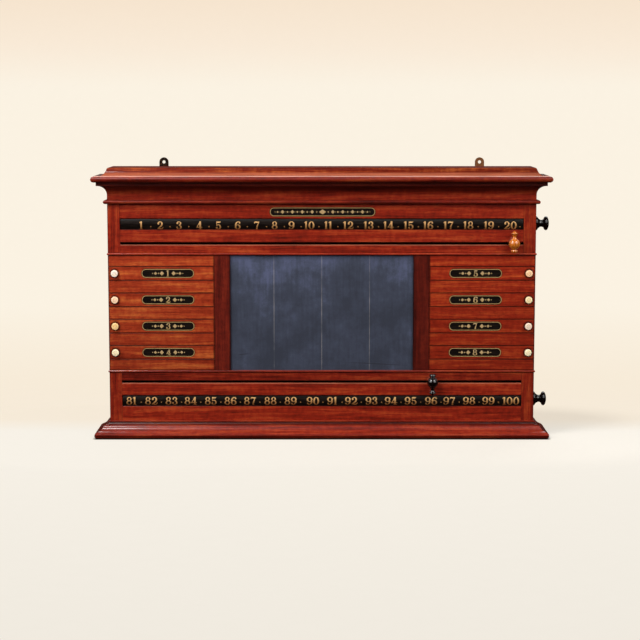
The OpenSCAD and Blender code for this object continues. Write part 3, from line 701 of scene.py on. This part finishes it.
class Stage(bpy.types.Operator):
    """Lays the pale paper, hangs the lamps and sets the camera"""

    bl_idname = "scoreboard.stage"
    bl_label = "Stage, lamps and camera"

    def execute(self, context):
        colours = context.scene.scoreboard_colours
        deselect()
        # Paper that runs forward under the board and curves up far behind it, sizes in metres
        wide, deep, behind, tall, bends, bend = 26, 16, 4, 6, 12, 0.13
        bpy.ops.mesh.primitive_plane_add(size=1, location=(0, behind - deep / 2, 0))
        paper = context.object
        bpy.ops.object.mode_set(mode="EDIT")
        bpy.ops.transform.resize(value=(wide, deep, 1))
        bpy.ops.object.mode_set(mode="OBJECT")
        corners = paper.data.vertices
        for vertex in corners:
            vertex.select = vertex.co.y > 0
        for edge in paper.data.edges:
            edge.select = all(corners[v].select for v in edge.vertices)
        for polygon in paper.data.polygons:
            polygon.select = False
        bpy.ops.object.mode_set(mode="EDIT")
        for step in range(bends):
            angle = math.radians(90 * (step + 0.5) / bends)
            move = Vector((0, math.cos(angle), math.sin(angle))) * bend
            bpy.ops.mesh.extrude_region_move(TRANSFORM_OT_translate={"value": move})
        bpy.ops.mesh.extrude_region_move(TRANSFORM_OT_translate={"value": (0, 0, tall)})
        bpy.ops.object.mode_set(mode="OBJECT")
        bpy.ops.object.transform_apply(location=True, rotation=True, scale=True)
        bpy.ops.object.shade_smooth_by_angle(angle=math.radians(40))
        paper.name = "paper"
        paper.data.materials.append(self.paper_finish(colours))
        # Name, place, size and power of each lamp: a broad soft panel at each side, where the mouldings
        # don't mirror it, a small box high on each side, a faint strip in front for the thin lines of
        # light along the mouldings, and a panel for the back
        lamps = (
            ("left_panel", (-2.7, -2.4, 2.5), (3.2, 3.0), 146),
            ("right_panel", (2.7, -2.4, 2.5), (3.2, 3.0), 122),
            ("left_box", (-1.05, -1.0, 2.3), (0.8, 0.6), 31),
            ("right_box", (1.4, -0.95, 2.3), (0.7, 0.6), 12),
            ("front_strip", (-0.9, -2.4, 2.05), (3.0, 0.3), 2.4),
            ("back_panel", (0.3, 2.7, 2.6), (3.4, 1.8), 60),
        )
        middle = Vector((0, 0, 0.28))
        for name, place, (wide, deep), power in lamps:
            bpy.ops.object.light_add(type="AREA", location=place)
            lamp = context.object
            lamp.name = name
            lamp.visible_camera = False
            lamp.data.shape = "RECTANGLE"
            lamp.data.size, lamp.data.size_y, lamp.data.energy = wide, deep, power
            aim = middle - lamp.location
            lamp.rotation_euler = aim.to_track_quat("-Z", "Y").to_euler()
        world = bpy.data.worlds.new("studio")
        context.scene.world = world
        world.use_nodes = True
        tree = world.node_tree
        node = partial(add, tree)
        room = tree.nodes["Background"]
        feed(room, {0: colour("FFFAF2"), 1: 0.05})
        pale = node("Background", [colours.backdrop, 1.0])
        rays = node("LightPath").outputs
        seen = node("MixShader", [rays["Is Camera Ray"], room, pale])
        feed(tree.get_output_node("ALL"), {"Surface": seen})
        bpy.ops.object.camera_add(location=CAMERA, rotation=(math.radians(90 - LOOKS_DOWN), 0, 0))
        camera = context.object
        camera.data.lens, camera.data.sensor_width = LENS, FILM
        camera.data.sensor_fit = "HORIZONTAL"
        context.scene.camera = camera
        context.scene.view_settings.view_transform = "Standard"
        return {"FINISHED"}

    def paper_finish(self, colours):
        """Seamless paper: matt and shadowed near the board, and even and bright away from it."""
        material, node, shader, place = finish("seamless_paper", Roughness=0.95, Specular_IOR_Level=0.1)
        parts = node("SeparateXYZ", [place]).outputs
        # Its tone along its length, from the front over the floor and up the wall
        run = node("Math ADD", [parts[1], parts[2]])
        front, top = -1.5, 6.5
        run = node("MapRange", [run, front, top, 0, 1])
        floor, backdrop = colours.floor, colours.backdrop
        steps = (
            (-1.4, colour("F1EBE0")), (-0.3, floor), (0.03, floor), (0.16, colour("F7EBD9")),
            (0.7, colour("F8ECD9")), (2.2, backdrop), (5.7, backdrop), (5.92, colour("FAEBD8")),
            (6.15, colour("F7E5CF")),
        )
        tone = node("ValToRGB", [run], [((at - front) / (top - front), shade) for at, shade in steps])
        fibre = node("TexNoise", {"Vector": place, "Scale": 30.0, "Detail": 2.0})
        fibre = node("MapRange", [fibre, 0, 1, 0.985, 1])
        sheet = node("VectorMath SCALE", {0: tone, 3: fibre})
        lit = node("VectorMath SCALE", {0: sheet, 3: 0.8})
        feed(shader, {"Base Color": lit})
        rays = node("LightPath").outputs
        # Near the board the paper shows the lamps' shadows, most of all on the right. apart is how far a
        # place lies from the board's foot, which is 900 by 113 mm
        gaps = []
        for axis, half in enumerate((0.45, 0.0565)):
            gap = node("Math ABSOLUTE", [parts[axis]])
            gap = node("Math SUBTRACT", [gap, half])
            gaps.append(node("Math MAXIMUM", [gap, 0.0]))
        apart = node("CombineXYZ", [gaps[0], gaps[1], parts[2]])
        apart = node("VectorMath LENGTH", [apart]).outputs["Value"]
        away = node("MapRange", [apart, 0.02, 0.32, 0, 1], interpolation_type="SMOOTHSTEP")
        clear = node("MapRange", [parts[0], -0.45, 0.45, 0.93, 0.56], interpolation_type="SMOOTHSTEP")
        share = node("Math MAXIMUM", [away, clear])
        share = node("Math MULTIPLY", [rays["Is Camera Ray"], share])
        # Polished faces show the bright paper behind the board, dimmed by the dust on them
        climb = node("MapRange", [parts[1], 0.5, 4.0, 0, 0.3])
        through = rays["Is Transmission Ray"]
        polish = node("Math MAXIMUM", [rays["Is Glossy Ray"], through])
        polish = node("Math MULTIPLY", [polish, climb])
        wide = node("Math ABSOLUTE", [parts[0]])
        wide = node("MapRange", [wide, 0.6, 1.2, 1, 0])
        polish = node("Math MULTIPLY", [polish, wide])
        share = node("Math MAXIMUM", [share, polish])
        # Little light comes back off the paper, as in a room with dark walls
        tones = {6: colour("4A4743"), 7: (0.004, 0.004, 0.004, 1.0)}
        shade = node("Mix", {0: rays["Is Glossy Ray"], **tones}, data_type="RGBA").outputs[2]
        shade = node("BsdfDiffuse", [shade])
        matt = node("MixShader", [rays["Is Camera Ray"], shade, shader])
        glow = node("Emission", [sheet])
        both = node("MixShader", [share, matt, glow])
        # Painted contact shadow: a black line on the paper round the board's foot
        contact_shadow = node("MapRange", [apart, 0.0015, 0.009, 1, 0])
        black = node("BsdfDiffuse", [colour("1A1210")])
        both = node("MixShader", [contact_shadow, both, black])
        feed(material.node_tree.get_output_node("ALL"), {"Surface": both})
        return material


class CaseWork(bpy.types.Operator):
    """Polishes the case, its front frame and its mouldings"""

    bl_idname = "scoreboard.case_work"
    bl_label = "Case, front frame and mouldings"

    def execute(self, context):
        colours = context.scene.scoreboard_colours
        tones = tones_of(colours, "mahogany_dark", "mahogany", "mahogany_light")
        # How dark each piece is, beside the others. The lower top rail's is painted shade under the bead
        # above it
        depths = {
            "upper_right_stile": 0.86, "lower_right_stile": 0.78, "lower_left_stile": 0.84,
            "lower_top_rail": 0.74, "cove_moulding": 1.12, "plinth_moulding": 0.86, "necking_bead": 0.75,
            "lower_bead": 0.75,
        }

        def polish(name, along, shift, grime_and_shade, wear_and_highlight=(), side_shade=None):
            wood = shaded(tones, depths.get(name, 1))
            dress(french_polished(name + "_mahogany", wood, along, shift, grime_and_shade, wear_and_highlight, side_shade=side_shade), name)

        level = ("frieze_rail", "upper_middle_rail", "upper_bottom_rail")
        level += ("lower_top_rail", "lower_middle_rail", "lower_bottom_rail")
        for k, name in enumerate(level):
            grime_and_shade, wear_and_highlight = joints(name), []
            if name in ("upper_bottom_rail", "lower_middle_rail"):
                # A painted highlight along its top arris, the slot's lower lip
                wear_and_highlight = [(2, grime_and_shade.pop()[1] - 0.0009, 0.0014)]
            if name == "lower_bottom_rail":
                # Painted shade deep in the corner over the plinth
                grime_and_shade[2] = (2, grime_and_shade[2][1], 0.009)
            polish(name, 0, 1.3 + 2.1 * k, grime_and_shade, wear_and_highlight)
        upright = ("upper_left_stile", "upper_right_stile", "lower_left_stile", "lower_right_stile")
        for k, name in enumerate(upright + ("left_side", "right_side")):
            grime_and_shade = joints(name)
            # Painted shade deep in the corner over the plinth, at the foot of the lower stiles
            if "lower" in name:
                grime_and_shade[2] = (2, grime_and_shade[2][1], 0.01)
            polish(name, 2, 0.7 + 1.9 * k, grime_and_shade)
        mouldings = ("cove_moulding", "necking_bead", "plinth_moulding", "upper_bead", "lower_bead")
        for k, name in enumerate(mouldings):
            low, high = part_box(name)
            # A dark line at each moulding's foot, and how much painted shade darkens its sides
            grime_and_shade, side_shade = [(2, low.z, 0.0012)], 0.25
            if name == "cove_moulding":
                # Painted shade in the hollow under the shelf
                grime_and_shade.append((2, high.z, 0.028))
            if name == "plinth_moulding":
                # Painted shade at its foot, in its top hollow and on its sides, and a dark line low on its
                # face
                grime_and_shade, side_shade = [(2, 0.0, 0.003), (2, 0.0047, 0.0014), (2, 0.0275, 0.005)], 0.7
            polish(name, 0, 4.4 + 1.7 * k, grime_and_shade, side_shade=side_shade)
        # Painted light: the crown and the shelf are lighter at their left ends and darker at their right
        low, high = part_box("crown_board")
        amber = tones_of(colours, "mahogany_dark", "crown", "crown_light")
        # A painted highlight along the crown's foot
        arris = [(2, low.z + 0.002, 0.005)]
        crown = french_polished(
            "crown_mahogany", amber, 0, 9.1, (), arris, "B86A4C", dusty=high.z, faded=(1.18, 0.78)
        )
        dress(crown, "crown_board")
        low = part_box("cornice_shelf")[0]
        # Painted shade under the shelf, and a painted highlight along its nose
        grime_and_shade, arris = [(2, low.z, 0.0014)], [(1, low.y + 0.007, 0.0018)]
        shelf = french_polished(
            "shelf_mahogany", shaded(tones, 0.72), 0, 11.4, grime_and_shade, arris, "FFC4AA", faded=(1.06, 0.8)
        )
        dress(shelf, "cornice_shelf")
        hidden = ("back_board", "bottom_board", "lower_shelf", "upper_shelf")
        dress(bare_pine(colours), *hidden, "upper_pointer_block", "lower_pointer_block")
        return {"FINISHED"}


class SlateAndSlides(bpy.types.Operator):
    """Rubs the slate and polishes its stiles, the slats and the slides"""

    bl_idname = "scoreboard.slate_and_slides"
    bl_label = "Slate, slats and slides"

    def execute(self, context):
        colours = context.scene.scoreboard_colours
        tones = tones_of(colours, "slat_dark", "slat", "slat_light")
        # The right side's strips are redder and darker than the left's
        for k, (side, wood) in enumerate((("left", tones), ("right", shaded(tones, 0.82, 0.54)))):
            name = side + "_fixed_slats"
            dress(french_polished(name, wood, 0, 3.7 + k, joints(name, 0.003), rows=SLIDE_Z[0]), name)
            name, grime_and_shade = side + "_slide_mahogany", joints(side + "_slide_1", 0.0035)[:2]
            first = SLIDE_Z[0] - PITCH / 2
            slides = french_polished(name, wood, 0, 6.1 + k, grime_and_shade, rows=first, ring=True)
            dress(slides, *[f"{side}_slide_{i}" for i in range(1, 5)])
        dark = tones_of(colours, "stile_dark", "stile", "stile_light")
        # Each slate stile, which of its sides meets the slate, and how dark it is
        stiles = (("left_slate_stile", 1, 1.0), ("right_slate_stile", 0, 0.76))
        for k, (name, inner, share) in enumerate(stiles):
            # Painted shade along the side that meets the slate, where its recess is in shadow
            grime_and_shade = joints(name) + [(0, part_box(name)[inner].x, 0.0032)]
            dress(french_polished(name + "_mahogany", shaded(dark, share), 2, 2.9 + 5.4 * k, grime_and_shade), name)
        dress(french_polished("ground_mahogany", dark, 0, 5.3), "ground_panel")
        dress(rubbed_slate(colours), "slate")
        return {"FINISHED"}


class Buttons(bpy.types.Operator):
    """Turns the eight bone buttons"""

    bl_idname = "scoreboard.buttons"
    bl_label = "Bone buttons"

    def execute(self, context):
        low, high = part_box("left_button_1")
        radius = (high.x - low.x) / 2
        rise = (FACE_Y - low.y) / radius
        dowel = (high.y - FACE_Y) / radius
        # The dowel, the foot and the waist, the edge of the head, and its face with a ring and a dimple
        waist = [(0.6, 0.1), (0.52, 0.16), (0.46, 0.24), (0.45, 0.32), (0.48, 0.42), (0.6, 0.5), (0.86, 0.58)]
        face = [(0.5, 0.975), (0.47, 0.95), (0.42, 0.95), (0.39, 0.985), (0.1, 1), (0.08, 0.97), (0, 0.97)]
        outline = [(0, -dowel), (0.285, -dowel), (0.285, 0), (0.6, 0)] + [(x, z * rise) for x, z in waist]
        outline += bow((0.95, 0.62 * rise), (1.0, 0.7 * rise), 0.08, 1, 4) + [(1.0, 0.78 * rise)]
        outline += bow((0.99, 0.83 * rise), (0.86, 0.93 * rise), 0.14, 1, 5)
        outline += [(x, z * rise) for x, z in face]
        # Each button carries a trace of its ball's colour
        stains = ("FFEAD8", "FFD8B4", "F8CB8C", "FFECC4", "FBCDA0", "F8DFAE", "F6DCC4", "F9ECC4")
        for (side, i), stain in zip(SLIDES, stains):
            name = f"{side}_button_{i}"
            low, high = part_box(name)
            piece = turned(outline, radius)
            middle = (low + high) / 2
            bone = turned_bone(name + "_bone", colour(stain), middle, radius)
            place = (middle.x, FACE_Y, middle.z)
            put(piece, name, UPRIGHT, place, f"{side}_player_slide_{i}", "bone", bone)
        return {"FINISHED"}


class Labels(bpy.types.Operator):
    """Lays the black and gilt labels on the slides and the frieze"""

    bl_idname = "scoreboard.labels"
    bl_label = "Black and gilt labels"

    def execute(self, context):
        sizes, colours = context.scene.scoreboard_sizes, context.scene.scoreboard_colours
        black = black_lacquer(colours)
        gold = gold_leaf(colours, "gold_transfer", colour("BC9A64"), colour("CCAC7C"))
        wide, high, line = sizes.label_width, sizes.label_height, sizes.gilt_line
        # How high a slide's number is. On each side of it stands a lozenge and then a dot, twice over: how
        # far off the lozenge is and its width, and how far off the dot is and its radius
        digit, ornament = 0.0125, ((0.009, 0.0088, 0.0158, 0.0013), (0.0216, 0.0064, 0.0272, 0.001))
        for k, (side, i) in enumerate(SLIDES):
            low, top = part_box(f"{side}_slide_{i}")
            place = Vector((math.copysign(sizes.label_x, low.x + top.x), FACE_Y, (low.z + top.z) / 2))
            body = f"{side}_player_slide_{i}"
            self.label(f"{side}_label_{i}", place, wide, high, line, body, (black, gold))
            faces, width = figures(str(k + 1), digit)
            for s in (-1, 1):
                x = s * width / 2
                for off, size, far, radius in ornament:
                    faces += lozenge(x + s * off, 0, size, size) + dot(x + s * far, 0, radius)
            self.gild(f"{side}_label_{i}_gilt", faces, place, body, gold)
        place = Vector((0.0015, FACE_Y, sizes.frieze_label_z))
        wide, high = sizes.frieze_label_width, sizes.frieze_label_height
        self.label("frieze_label", place, wide, high, line, "case", (black, gold))
        # The frieze has a large lozenge between two dots, and then lozenges and dots in turn at this pitch,
        # with a small dot after each
        first, pitch = 0.0205, 0.0098
        faces = lozenge(0, 0, 0.014, 0.0098) + dot(-0.0115, 0, 0.0013) + dot(0.0115, 0, 0.0013)
        for s in (-1, 1):
            for n in range(8):
                x = s * (first + pitch * n)
                faces += lozenge(x, 0, 0.007, 0.0076) if n % 2 == 0 else dot(x, 0, 0.0016)
                faces += dot(x + s * pitch / 2, 0, 0.0007)
        self.gild("frieze_label_gilt", faces, place, "case", gold)
        return {"FINISHED"}

    def label(self, name, place, width, height, line, body, finishes):
        """A label with round ends: black, with a gilt line a little inside its edge."""
        margin = 0.0009
        deselect()
        bpy.ops.mesh.primitive_plane_add(size=1)
        piece = bpy.context.object
        for material in finishes:
            piece.data.materials.append(material)
        bpy.ops.object.mode_set(mode="EDIT")
        bpy.ops.transform.resize(value=(width, height, 1))
        bpy.ops.mesh.bevel(offset=height * 0.485, offset_type="OFFSET", segments=12, affect="VERTICES")
        bpy.ops.mesh.inset(thickness=margin)
        for index, inset in ((1, line), (0, 0)):
            piece.active_material_index = index
            bpy.ops.object.material_slot_assign()
            if inset:
                bpy.ops.mesh.inset(thickness=inset)
        bpy.ops.object.mode_set(mode="OBJECT")
        settle(piece, UPRIGHT, place + Vector((0, -LABEL_SHEET, 0)))
        modifier = piece.modifiers.new("thickness", "SOLIDIFY")
        modifier.thickness, modifier.offset = LABEL_SHEET, -1
        bpy.ops.object.modifier_apply(modifier=modifier.name)
        own(piece, name, body, "ebonised_wood")

    def gild(self, name, faces, place, body, gold):
        """Gilt work on a flat label. tall is the height over which its gold darkens, from head to foot."""
        tall = 0.0098
        faces = [[(place.x + x, place.z + z, z) for x, z in face] for face in faces]
        gilded(name, faces, lambda x, z: (x, place.y - LABEL_LEAF, z), tall, body, gold)


class Rollers(bpy.types.Operator):
    """Lacquers the two rollers and paints their five rows of numbers"""

    bl_idname = "scoreboard.rollers"
    bl_label = "Number rollers"

    def execute(self, context):
        sizes, colours = context.scene.scoreboard_sizes, context.scene.scoreboard_colours
        black, gold = black_lacquer(colours), gold_leaf(colours)
        dress(black, "upper_roller", "lower_roller")
        steel = metal("turned_steel", colour("6E6A63"), colour("A8A59E"), 0.3)
        dress(steel, "upper_roller_spindles", "lower_roller_spindles")
        brass = metal("drawn_brass", colour("8A6428"), colour("C79A4B"), 0.3)
        dress(brass, "roller_bushes", "upper_pointer_pin", "lower_pointer_pin")
        # Each roller's first number, its pitch and its drop, and which of its rows is in view
        rollers = (
            ("upper", sizes.upper_first, sizes.upper_pitch, sizes.upper_drop, 0),
            ("lower", sizes.lower_first, sizes.lower_pitch, sizes.lower_drop, ROWS - 1),
        )
        for level, first, pitch, drop, shown in rollers:
            low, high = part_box(level + "_roller")
            middle, radius = (low + high) / 2, (high.z - low.z) / 2 + ROLLER_LEAF
            faces = []
            for row in range(ROWS):
                turn = ((row - shown) % ROWS) * 2 * math.pi / ROWS * radius - drop
                for n in range(IN_A_ROW):
                    x = first + pitch * n + (BY_EYE[level][n] / 1000 if row == shown else 0)
                    number = row * IN_A_ROW + n + 1
                    shapes = figures(str(number), sizes.figure_height)[0]
                    if number < ROWS * IN_A_ROW:
                        shapes = shapes + dot(pitch / 2, -sizes.figure_height * 0.16, 0.0012, 10)
                    faces += [[(x + u, v + turn, v) for u, v in face] for face in shapes]

            def lay(x, up):
                angle = up / radius
                return (x, middle.y - radius * math.cos(angle), middle.z + radius * math.sin(angle))

            gilded(level + "_roller_numbers", faces, lay, sizes.figure_height, level + "_number_roller", gold)
        return {"FINISHED"}


class Knobs(bpy.types.Operator):
    """Turns the two black side knobs"""

    bl_idname = "scoreboard.knobs"
    bl_label = "Side knobs"

    def execute(self, context):
        black = ebonised(context.scene.scoreboard_colours)
        for level in ("upper", "lower"):
            name = level + "_roller_knob"
            low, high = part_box(name)
            # The knob's radius, and its length in radii: a flange, a hollow neck and a flat ball
            radius = (high.z - low.z) / 2
            far = (high.x - low.x) / radius
            outline = [(0, 0), (0.95, 0)] + bow((0.985, 0.025 * far), (0.96, 0.15 * far), 0.2, 1, 6)
            outline += bow((0.92, 0.17 * far), (0.5, 0.44 * far), 0.36 * far, -1, 14)
            outline += bow((0.5, 0.47 * far), (0.64, 0.62 * far), 0.22 * far, -1, 8)
            angles = [math.radians(-46 + 136 * k / 30) for k in range(30)]
            outline += [(math.cos(a), (0.785 + 0.215 * math.sin(a)) * far) for a in angles] + [(0, far)]
            piece = turned(outline, radius)
            middle = (low + high) / 2
            place, turn = (low.x, middle.y, middle.z), Matrix.Rotation(math.radians(90), 4, "Y")
            put(piece, name, turn, place, level + "_number_roller", "ebonised_wood", black)
        return {"FINISHED"}


class Pointers(bpy.types.Operator):
    """Turns the boxwood pointer and the black pointer"""

    bl_idname = "scoreboard.pointers"
    bl_label = "Pointers"

    def execute(self, context):
        colours = context.scene.scoreboard_colours
        # Each pointer, which way up it stands, its finish and its slot
        finishes = (
            ("upper", 1, turned_boxwood(colours), "boxwood"),
            ("lower", -1, ebonised(colours), "ebonised_wood"),
        )
        # Measured in the ball's radius from its middle, with the foot this far off
        reach = 1.5
        foot = [(0, -reach), (0.5, -reach)] + bow((0.57, -1.34), (0.57, -1.16), 0.13, 1, 4)
        foot += [(0.52, -1.05), (0.42, -1.0), (0.38, -0.96), (0.4, -0.89), (0.48, -0.86)]
        foot += [(0.6, -0.84), (0.65, -0.8)]
        ball = [(math.cos(a), math.sin(a)) for a in [math.radians(-49 + 78 * k / 16) for k in range(17)]]
        neck = bow((0.82, 0.58), (0.33, 1.14), 1.5, -1, 10) + [(0.315, 1.2), (0.315, 1.28)]
        neck += bow((0.33, 1.36), (0.56, 1.72), 0.5, -1, 8)
        neck += [(0.6, 1.8), (0.61, 1.88), (0.58, 1.96), (0.47, 2.0), (0.3, 2.03), (0.22, 2.08)]
        neck += [(0.22, 2.18), (0.17, 2.23), (0.12, 2.25), (0, 2.25)]
        for level, way, material, slot in finishes:
            name = level + "_pointer"
            low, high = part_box(name)
            unit = (high.x - low.x) / 2
            piece = turned(foot + ball + neck, unit)
            base = low.z + reach * unit if way > 0 else high.z - reach * unit
            turn = Matrix.Identity(4) if way > 0 else Matrix.Rotation(math.pi, 4, "Y")
            settle(piece, turn, Vector(((low.x + high.x) / 2, low.y + unit, base)))
            # The flat on the back of the ball, where the pin goes in
            bpy.ops.object.mode_set(mode="EDIT")
            bpy.ops.mesh.select_all(action="SELECT")
            bpy.ops.mesh.bisect(plane_co=(0, high.y, 0), plane_no=(0, 1, 0), use_fill=True, clear_outer=True)
            bpy.ops.object.mode_set(mode="OBJECT")
            bpy.ops.object.shade_smooth_by_angle(angle=SMOOTH)
            own(piece, name + "_turned", level + "_marker", slot, [material])
            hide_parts(name)
        return {"FINISHED"}


class Fixings(bpy.types.Operator):
    """Bronzes the hanging plates and the screws"""

    bl_idname = "scoreboard.fixings"
    bl_label = "Hanging plates and screws"

    def execute(self, context):
        bronzed = metal("bronzed_plate", colour("1C1714"), colour("A06A42"), 0.4, 0.8, 500.0, 0.15)
        dress(bronzed, "hanging_plates")
        dress(metal("dull_steel", colour("4A4540"), colour("8C877E"), 0.45, 1.0, 600.0), "wood_screws")
        return {"FINISHED"}


OPERATORS = (CaseWork, SlateAndSlides, Buttons, Labels, Rollers, Knobs, Pointers, Fixings, Stage)


class ScoreboardPanel(bpy.types.Panel):
    """Lists the board's pieces"""

    bl_idname = "VIEW3D_PT_scoreboard"
    bl_label = "Scoreboard"
    bl_space_type = "VIEW_3D"
    bl_region_type = "UI"
    bl_category = "Scoreboard"

    def draw(self, context):
        for group in (context.scene.scoreboard_sizes, context.scene.scoreboard_colours):
            for name in group.__annotations__:
                self.layout.prop(group, name)
        for operator in OPERATORS:
            self.layout.operator(operator.bl_idname)


CLASSES = (ScoreboardSizes, ScoreboardColours) + OPERATORS + (ScoreboardPanel,)


def register():
    for item in CLASSES:
        bpy.utils.register_class(item)
    bpy.types.Scene.scoreboard_sizes = PointerProperty(type=ScoreboardSizes)
    bpy.types.Scene.scoreboard_colours = PointerProperty(type=ScoreboardColours)


def unregister():
    del bpy.types.Scene.scoreboard_colours
    del bpy.types.Scene.scoreboard_sizes
    for item in reversed(CLASSES):
        bpy.utils.unregister_class(item)


def main():
    """Makes every piece in turn."""
    register()
    for operator in OPERATORS:
        getattr(bpy.ops.scoreboard, operator.bl_idname.split(".")[1])()


if __name__ == "__main__":
    main()
